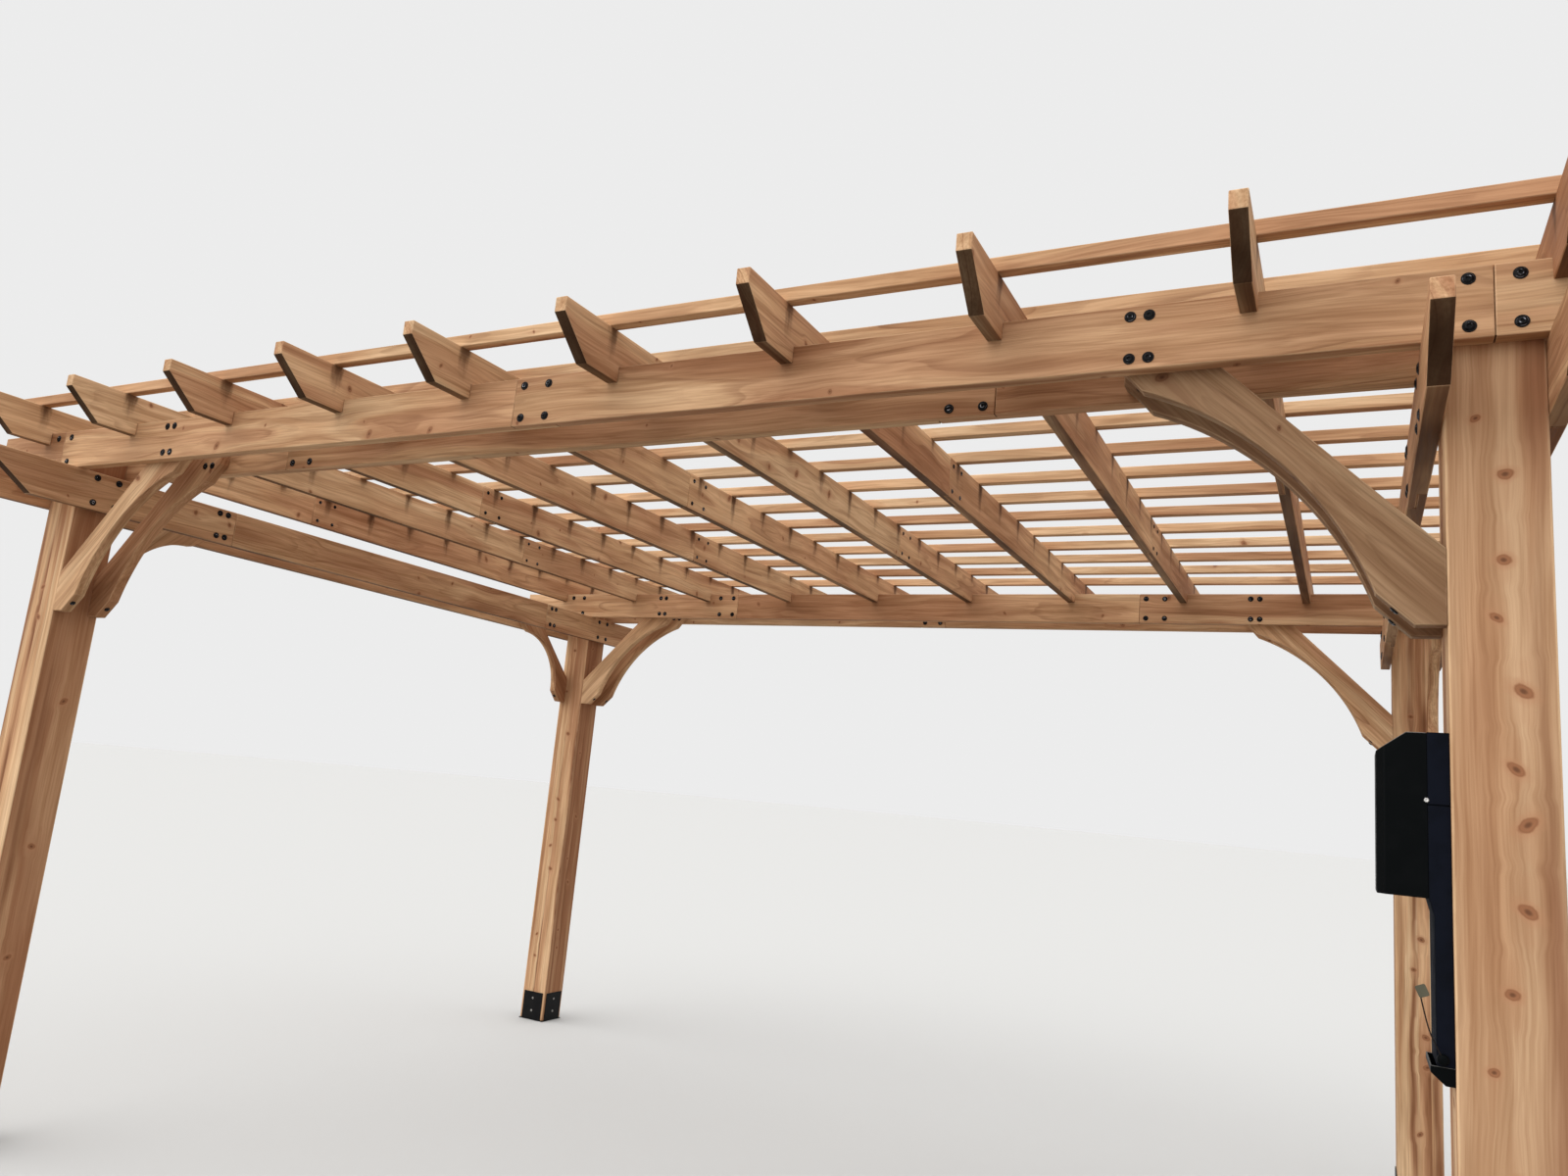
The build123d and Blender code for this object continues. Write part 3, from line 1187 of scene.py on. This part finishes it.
class ScatterTree:
    """A node tree that sets a fastener on each point of a mesh, turned to face outwards."""

    def __init__(self, name: str, seed: int) -> None:
        """Build the tree.

        Args:
            name: The tree's name.
            seed: The seed of each fastener's turn about its own axis.
        """
        tree = self.tree = bpy.data.node_groups.new(name, "GeometryNodeTree")
        face = tree.interface
        face.new_socket("Points", in_out="INPUT", socket_type="NodeSocketGeometry")
        self.shape, self.material, self.scale = (
            face.new_socket(label, in_out="INPUT", socket_type=f"NodeSocket{kind}").identifier
            for label, kind in (("Shape", "Object"), ("Material", "Material"), ("Scale", "Float"))
        )
        face.new_socket("Fasteners", in_out="OUTPUT", socket_type="NodeSocketGeometry")
        points, shape, material, scale, _ = add_node(tree, "NodeGroupInput").outputs
        shape = add_node(tree, "GeometryNodeObjectInfo", shape).outputs["Geometry"]
        facing, size = (
            add_node(tree, "GeometryNodeInputNamedAttribute", label, data_type=kind).outputs["Attribute"]
            for label, kind in (("facing", "FLOAT_VECTOR"), ("size", "FLOAT"))
        )
        turn = add_node(
            tree, "FunctionNodeRandomValue", inputs={"Max": math.tau, "Seed": seed}, data_type="FLOAT"
        ).outputs[1]
        own = add_node(tree, "FunctionNodeAxisAngleToRotation", (0, 0, 1), turn).outputs[0]
        aim = add_node(
            tree, "FunctionNodeAlignRotationToVector", inputs={"Vector": facing}, axis="Z"
        ).outputs[0]
        both = add_node(tree, "FunctionNodeRotateRotation", aim, own, rotation_space="LOCAL").outputs[0]
        scale = add_node(tree, "ShaderNodeMath", size, scale, operation="MULTIPLY").outputs[0]
        inputs = {"Points": points, "Instance": shape, "Rotation": both, "Scale": scale}
        instances = add_node(tree, "GeometryNodeInstanceOnPoints", inputs=inputs).outputs[0]
        meshes = add_node(tree, "GeometryNodeRealizeInstances", instances).outputs[0]
        coated = add_node(tree, "GeometryNodeSetMaterial", meshes, inputs={"Material": material}).outputs[0]
        add_node(tree, "NodeGroupOutput", coated)

    def apply(
        self,
        name: str,
        spots: Sequence[Spot],
        shape: Lathed,
        material: bpy.types.Material,
        scale: float = 1.0,
    ) -> None:
        """Make one piece that holds a fastener for each spot.

        Args:
            name: The piece's name.
            spots: Where the fasteners sit.
            shape: One fastener of diameter one, facing up.
            material: The fasteners' material.
            scale: How much larger than the spot's size each one is.
        """
        shape_data = bpy.data.meshes.new(f"{name}_shape")
        mesh = shape.build()
        mesh.to_mesh(shape_data)
        mesh.free()
        shape_object = bpy.data.objects.new(f"{name}_shape", shape_data)
        points = bpy.data.meshes.new(f"{name}_points")
        points.from_pydata([spot.place for spot in spots], [], [])
        points.attributes.new("facing", "FLOAT_VECTOR", "POINT")
        points.attributes.new("size", "FLOAT", "POINT")
        for index, spot in enumerate(spots):
            points.attributes["facing"].data[index].vector = spot.facing
            points.attributes["size"].data[index].value = spot.size
        carrier = linked(f"{name}_carrier", points)
        modifier = carrier.modifiers.new("fasteners", "NODES")
        modifier.node_group = self.tree
        modifier[self.shape] = shape_object
        modifier[self.material] = material
        modifier[self.scale] = scale
        data = evaluated(name, carrier)
        bpy.data.objects.remove(shape_object)
        riding(name, data, "shoe_steel")


@dataclass
class Fasteners:
    """Bolts through the joints, lag bolts at the braces' feet, and slat screws.

    Sizes are diameters. Offsets along a board are measured from the middle of
    a post, those of braces and laps towards the middle of the board.
    """

    bolt_head: float = 0.019
    washer_scale: float = 1.2
    washer_depth: float = -0.06
    lag_head: float = 0.017
    rafter_head: float = 0.015
    shoe_head: float = 0.013
    screw_head: float = 0.0085
    row_inset: float = 0.022
    side_raise: float = 0.003
    post_offsets: tuple[float, float] = (-0.038, 0.038)
    header_brace_offsets: tuple[float, float] = (0.570, 0.606)
    header_lap_offsets: tuple[float, float] = (0.958, 1.038)
    outer_lap_places: tuple[float, float] = (-0.040, 0.040)
    side_brace_offsets: tuple[float, float] = (0.436, 0.471)
    rafter_lap_offsets: tuple[float, float] = (0.028, 0.108)
    rafter_lap_levels: tuple[float, float] = (2.342, 2.425)
    rafter_joints: tuple[float, float] = (1.000, 1.833)
    shoe_levels: tuple[float, float] = (0.113, 0.048)
    lag_out: float = 0.078
    lag_level: float = 1.762
    plate_middle: float = 0.0175

    def build(self) -> None:
        """Make every fastener."""
        tree = ScatterTree("fasteners_on_points", seed=5)
        # The bolts' light bluish edge colour is a painted glint on their heads' marked rings.
        coated = CoatedSteelFinish(
            "bolt_coat", edge_bare_and_glint=(0.5, 0.52, 0.58), roughness=(0.18, 0.28), gloss=0.09, wear_and_glint=1.0
        ).build()
        plated = PlatedFinish().build()
        dull = CoatedSteelFinish(
            "washer_coat", coat=(0.004, 0.004, 0.005), dusty=(0.012, 0.012, 0.0125)
        ).build()
        bolts = [*self._header_bolts(), *self._side_beam_bolts()]
        washers = [spot.raised(self.washer_depth) for spot in bolts]
        tree.apply("bolt_washers", washers, FLAT_WASHER, dull, self.washer_scale)
        tree.apply("bolt_heads", bolts, DOMED_HEAD, coated)
        tree.apply("rafter_bolts", list(self._rafter_bolts()), DOMED_HEAD, coated)
        tree.apply("brace_lags", list(self._lags()), DOMED_HEAD, coated)
        tree.apply("shoe_bolts", list(self._shoe_bolts()), DOMED_HEAD, plated)
        tree.apply("slat_screws", list(self._slat_screws()), SUNK_HEAD, plated)

    def _levels(self, low: Vector, high: Vector) -> tuple[float, float]:
        """Return the two levels of the bolts in a board."""
        return low.z + self.row_inset, high.z - self.row_inset

    def _at_posts(self, post: float) -> list[float]:
        """Return the bolts' places at the posts, given how far the posts are from the middle."""
        return [side * post + offset for side in (-1, 1) for offset in self.post_offsets]

    def _header_bolts(self) -> Iterable[Spot]:
        """Place the bolts through the headers.

        Yields:
            The spot of each bolt.
        """
        post = middle_of("post_front_right").x
        for row, outward in (("front", -1), ("back", 1)):
            for layer, shows in (("outer", outward), ("inner", -outward)):
                low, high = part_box(f"header_{row}_{layer}")
                near, far = (low.y, high.y) if shows < 0 else (high.y, low.y)
                inside = far - shows * (high.y - low.y)
                braces = [side * (post - offset) for side in (-1, 1) for offset in self.header_brace_offsets]
                laps = self.outer_lap_places
                if layer == "inner":
                    laps = [side * (post - offset) for side in (-1, 1) for offset in self.header_lap_offsets]
                for level in self._levels(low, high):
                    for places, y, facing in (
                        ((*self._at_posts(post), *braces, *laps), near, shows),
                        (laps, far, -shows),
                        (braces, inside, -shows),
                    ):
                        for x in places:
                            yield Spot((x, y, level), (0, facing, 0), self.bolt_head)

    def _side_beam_bolts(self) -> Iterable[Spot]:
        """Place the bolts through the side beams.

        Yields:
            The spot of each bolt.
        """
        post = middle_of("post_back_right").y
        braces = [end * (post - offset) for end in (-1, 1) for offset in self.side_brace_offsets]
        for side, outward in (("left", -1), ("right", 1)):
            for layer, shows in (("outer", outward), ("inner", -outward)):
                low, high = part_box(f"side_beam_{side}_{layer}")
                near = low.x if shows < 0 else high.x
                for level in self._levels(low, high):
                    for y in (*self._at_posts(post), *braces):
                        yield Spot((near, y, level + self.side_raise), (shows, 0, 0), self.bolt_head)

    def _rafter_bolts(self) -> Iterable[Spot]:
        """Place the small bolts through the rafters' laps.

        Yields:
            The spot of each bolt.
        """
        front = middle_of("post_front_right").y
        for number, rafter in enumerate(RAFTERS):
            low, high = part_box(rafter)
            joint = front + self.rafter_joints[number % 2]
            for offset in self.rafter_lap_offsets:
                for level in self.rafter_lap_levels:
                    for x, facing in ((low.x, -1), (high.x, 1)):
                        yield Spot((x, joint + offset, level), (facing, 0, 0), self.rafter_head)

    def _lags(self) -> Iterable[Spot]:
        """Place the lag bolts in the slanted faces at the braces' feet.

        Yields:
            The spot of each lag bolt.
        """
        slant = math.sqrt(0.5)
        for row, side, y_side, x_side in CORNERS:
            post_low, post_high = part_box(f"post_{row}_{side}")
            inner_x = post_high.x if x_side < 0 else post_low.x
            inner_y = post_high.y if y_side < 0 else post_low.y
            low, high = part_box(f"header_brace_{row}_{side}")
            for y in (low.y + self.plate_middle, high.y - self.plate_middle):
                place = (inner_x - x_side * self.lag_out, y, self.lag_level)
                yield Spot(place, (-x_side * slant, 0, -slant), self.lag_head)
            place = (middle_of(f"side_brace_{row}_{side}").x, inner_y - y_side * self.lag_out, self.lag_level)
            yield Spot(place, (0, -y_side * slant, -slant), self.lag_head)

    def _shoe_bolts(self) -> Iterable[Spot]:
        """Place the bolts on the four faces of each post shoe.

        Yields:
            The spot of each bolt.
        """
        for row, side, _, _ in CORNERS:
            low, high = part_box(f"post_shoe_{row}_{side}")
            middle = (low + high) / 2
            for level in self.shoe_levels:
                for face, facing in ((low, -1), (high, 1)):
                    yield Spot((face.x, middle.y, level), (facing, 0, 0), self.shoe_head)
                    yield Spot((middle.x, face.y, level), (0, facing, 0), self.shoe_head)

    def _slat_screws(self) -> Iterable[Spot]:
        """Place the screws that hold each slat to each rafter.

        Yields:
            The spot of each screw.
        """
        slats = SlatRows.read()
        for y in slats.rows:
            for rafter in RAFTERS:
                yield Spot((middle_of(rafter).x, y, slats.top), (0, 0, 1), self.screw_head)


@dataclass
class PostShoes:
    """The four steel shoes, with their cut edges eased."""

    copy: EasedCopy = EasedCopy(0.0009)

    def build(self) -> None:
        """Make the four shoes."""
        coat = CoatedSteelFinish("shoe_coat").build()
        for row, side, _, _ in CORNERS:
            cover_node(f"post_shoe_{row}_{side}", self.copy, "steel", coat, "shoe_steel")


@dataclass
class PowerBox:
    """The outlet box on the front right post: channel, housing, cable tray and small parts.

    The small parts' places are taken from the tray's left side, the channel's
    front and its bottom: how far right, how far out in front and how far up.
    """

    copy: EasedCopy = EasedCopy(0.0015, segments=3)
    tray_copy: EasedCopy = EasedCopy(0.0006, segments=3)
    slot: str = "outlet_plastic"
    screw_up: float = 0.4155
    screw_inset: float = 0.0015
    screw_head: float = 0.0075
    knob_place: Point = (0.017, 0.0, 0.012)
    knob_size: float = 0.018
    tie_radius: float = 0.0011
    tie_route: tuple[Point, ...] = (
        (0.017, 0.0085, 0.013),
        (0.0105, 0.0095, 0.026),
        (0.001, 0.008, 0.046),
        (-0.0055, 0.004, 0.068),
        (-0.012, 0.001, 0.101),
    )
    tag_size: Point = (0.016, 0.0009, 0.019)
    tag_place: Point = (-0.01, 0.0005, 0.1115)
    tag_lean: float = math.radians(-24)

    def build(self) -> None:
        """Make the box's pieces."""
        navy = MouldedPlasticFinish(
            "channel_plastic", srgb(17, 20, 29), roughness=(0.7, 0.85), gloss=0.03
        ).build()
        # glint_share lays a painted highlight on the housing's upward-facing edges.
        green = MouldedPlasticFinish("housing_plastic", srgb(3, 6, 7), glint_share=0.8).build()
        for node, copy, finish in (
            ("power_box_channel", self.copy, navy),
            ("power_box_housing", self.copy, green),
            ("power_box_cable_tray", self.tray_copy, green),
        ):
            cover_node(node, copy, "moulding", finish, self.slot)
        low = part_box("power_box_channel")[0]
        bright = PlatedFinish("screw_plate", (0.75, 0.74, 0.72), (0.5, 0.49, 0.47)).build()
        screw_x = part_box("power_box_housing")[1].x - self.screw_inset
        screw = PAN_HEAD.placed(self.screw_head, (screw_x, low.y, low.z + self.screw_up))
        finished(screw, "housing_screw", bright, self.slot)
        finished(KNOB.placed(self.knob_size, self._at(self.knob_place)), "cover_knob", green, self.slot)
        self._tie()
        self._tag()

    def _at(self, place: Point) -> Vector:
        """Work out where a small part goes.

        Args:
            place: How far right, how far out in front and how far up it is.

        Returns:
            Its place in the object's frame.
        """
        right, front, up = place
        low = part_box("power_box_channel")[0]
        return Vector((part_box("power_box_cable_tray")[0].x + right, low.y - front, low.z + up))

    def _tie(self) -> None:
        """Make the stiff tie that holds the tag."""
        line = bpy.data.curves.new("tag_tie_line", "CURVE")
        line.dimensions = "3D"
        line.bevel_depth = self.tie_radius
        line.bevel_resolution = 3
        line.use_fill_caps = True
        spline = line.splines.new("NURBS")
        spline.points.add(len(self.tie_route) - 1)
        for point, place in zip(spline.points, self.tie_route):
            point.co = (*self._at(place), 1.0)
        spline.order_u = 3
        spline.use_endpoint_u = True
        mesh = bmesh.new()
        mesh.from_mesh(evaluated("tag_tie_mesh", linked("tag_tie_line", line)))
        bmesh.ops.remove_doubles(mesh, verts=mesh.verts, dist=TINY)
        bmesh.ops.recalc_face_normals(mesh, faces=mesh.faces)
        nylon = MouldedPlasticFinish("tie_nylon", srgb(34, 29, 26)).build()
        finished(mesh, "tag_tie", nylon, self.slot)

    def _tag(self) -> None:
        """Make the blank tag, a thin plate with rounded corners."""
        width, depth, height = self.tag_size
        radius = width / 6
        outline = []
        for right, up, start in ((1, -1, -90), (1, 1, 0), (-1, 1, 90), (-1, -1, 180)):
            for step in range(5):
                turn = math.radians(start + 22.5 * step)
                outline.append((
                    right * (width / 2 - radius) + radius * math.cos(turn),
                    up * (height / 2 - radius) + radius * math.sin(turn),
                ))
        mesh = bmesh.new()
        front = mesh.faces.new([mesh.verts.new((x, -depth / 2, z)) for x, z in outline])
        raised = bmesh.ops.extrude_face_region(mesh, geom=[front])["geom"]
        raised = [item for item in raised if isinstance(item, bmesh.types.BMVert)]
        bmesh.ops.translate(mesh, vec=(0, depth, 0), verts=raised)
        bmesh.ops.recalc_face_normals(mesh, faces=mesh.faces)
        mesh.transform(Matrix.Translation(self._at(self.tag_place)) @ Matrix.Rotation(self.tag_lean, 4, "Y"))
        card = MouldedPlasticFinish("tag_card", srgb(84, 82, 68), dust=srgb(104, 101, 86), gloss=0.1).build()
        finished(mesh, "blank_tag", card, self.slot)


@dataclass
class Studio:
    """A pale floor, soft lights and the camera."""

    pale: Colour = (0.5, 0.497, 0.487)
    bounce: Colour = (0.29, 0.27, 0.245)
    floor_reach: float = 90.0
    backdrop: float = 0.84
    sky_low: float = 0.6
    sky_high: float = 1.7
    key_strength: float = 1.85
    key_softness: float = math.radians(80)
    key_from: Point = (-0.52, -0.66, 0.56)
    camera_place: Point = (1.8868, -3.6521, 1.3671)
    heading: float = math.radians(27.96)
    pitch: float = math.radians(10.287)
    roll: float = math.radians(5.212)
    lens: float = 25.10

    def build(self) -> None:
        """Set up the floor, the lights and the camera."""
        scene = bpy.context.scene
        scene.view_settings.view_transform = "Standard"
        self._floor()
        self._sky()
        key = bpy.data.lights.new("key", "SUN")
        key.energy = self.key_strength
        key.angle = self.key_softness
        linked("key", key).rotation_euler = Vector(self.key_from).to_track_quat("Z", "Y").to_euler()
        data = bpy.data.cameras.new("camera")
        data.sensor_width = 36.0
        data.lens = self.lens
        scene.camera = linked("camera", data)
        scene.camera.location = self.camera_place
        turn = Matrix.Rotation(self.heading, 3, "Z") @ Matrix.Rotation(math.pi / 2 + self.pitch, 3, "X")
        scene.camera.rotation_euler = (turn @ Matrix.Rotation(self.roll, 3, "Z")).to_euler()

    def _shown(self, tree: bpy.types.NodeTree) -> Value:
        """Tell the rays that show a surface from those that carry bounced light.

        Args:
            tree: The node tree.

        Returns:
            One for rays from the camera or a reflection, and zero for bounced light.
        """
        path = add_node(tree, "ShaderNodeLightPath").outputs
        shown = Value(tree, path["Is Camera Ray"])
        for name in ("Is Glossy Ray", "Is Transmission Ray"):
            shown = shown.math("MAXIMUM", path[name])
        return shown

    def _floor(self) -> None:
        """Lay a wide pale floor that throws little light back up."""
        mesh = bmesh.new()
        bmesh.ops.create_circle(mesh, cap_ends=True, segments=64, radius=self.floor_reach)
        data = bpy.data.meshes.new("floor")
        mesh.to_mesh(data)
        mesh.free()
        g = ShaderGraph("studio_floor")
        data.materials.append(g.cover(g.mix(self._shown(g.tree), self.bounce, self.pale), 0.9, 0.1))
        linked("floor", data)

    def _sky(self) -> None:
        """Light the scene softly, more from above, behind a pale backdrop."""
        world = bpy.data.worlds.new("studio")
        world.use_nodes = True
        tree = world.node_tree
        tree.nodes.clear()
        height = Value(tree, add_node(tree, "ShaderNodeTexCoord").outputs["Generated"]).split()[2]
        light = height.node("MapRange", "Result", height, 0.0, 1.0, self.sky_low, self.sky_high)
        strength = light.node("MapRange", "Result", self._shown(tree), 0.0, 1.0, light, self.backdrop)
        background = add_node(tree, "ShaderNodeBackground", (1.0, 1.0, 1.0), strength)
        add_node(tree, "ShaderNodeOutputWorld", background.outputs[0])
        bpy.context.scene.world = world


def main() -> None:
    """Build the pergola's looks and the studio round it."""
    logging.basicConfig(level=logging.INFO, format="%(name)s %(message)s")
    Studio().build()
    Timber().build()
    PostShoes().build()
    PowerBox().build()
    Fasteners().build()


if __name__ == "__main__":
    main()
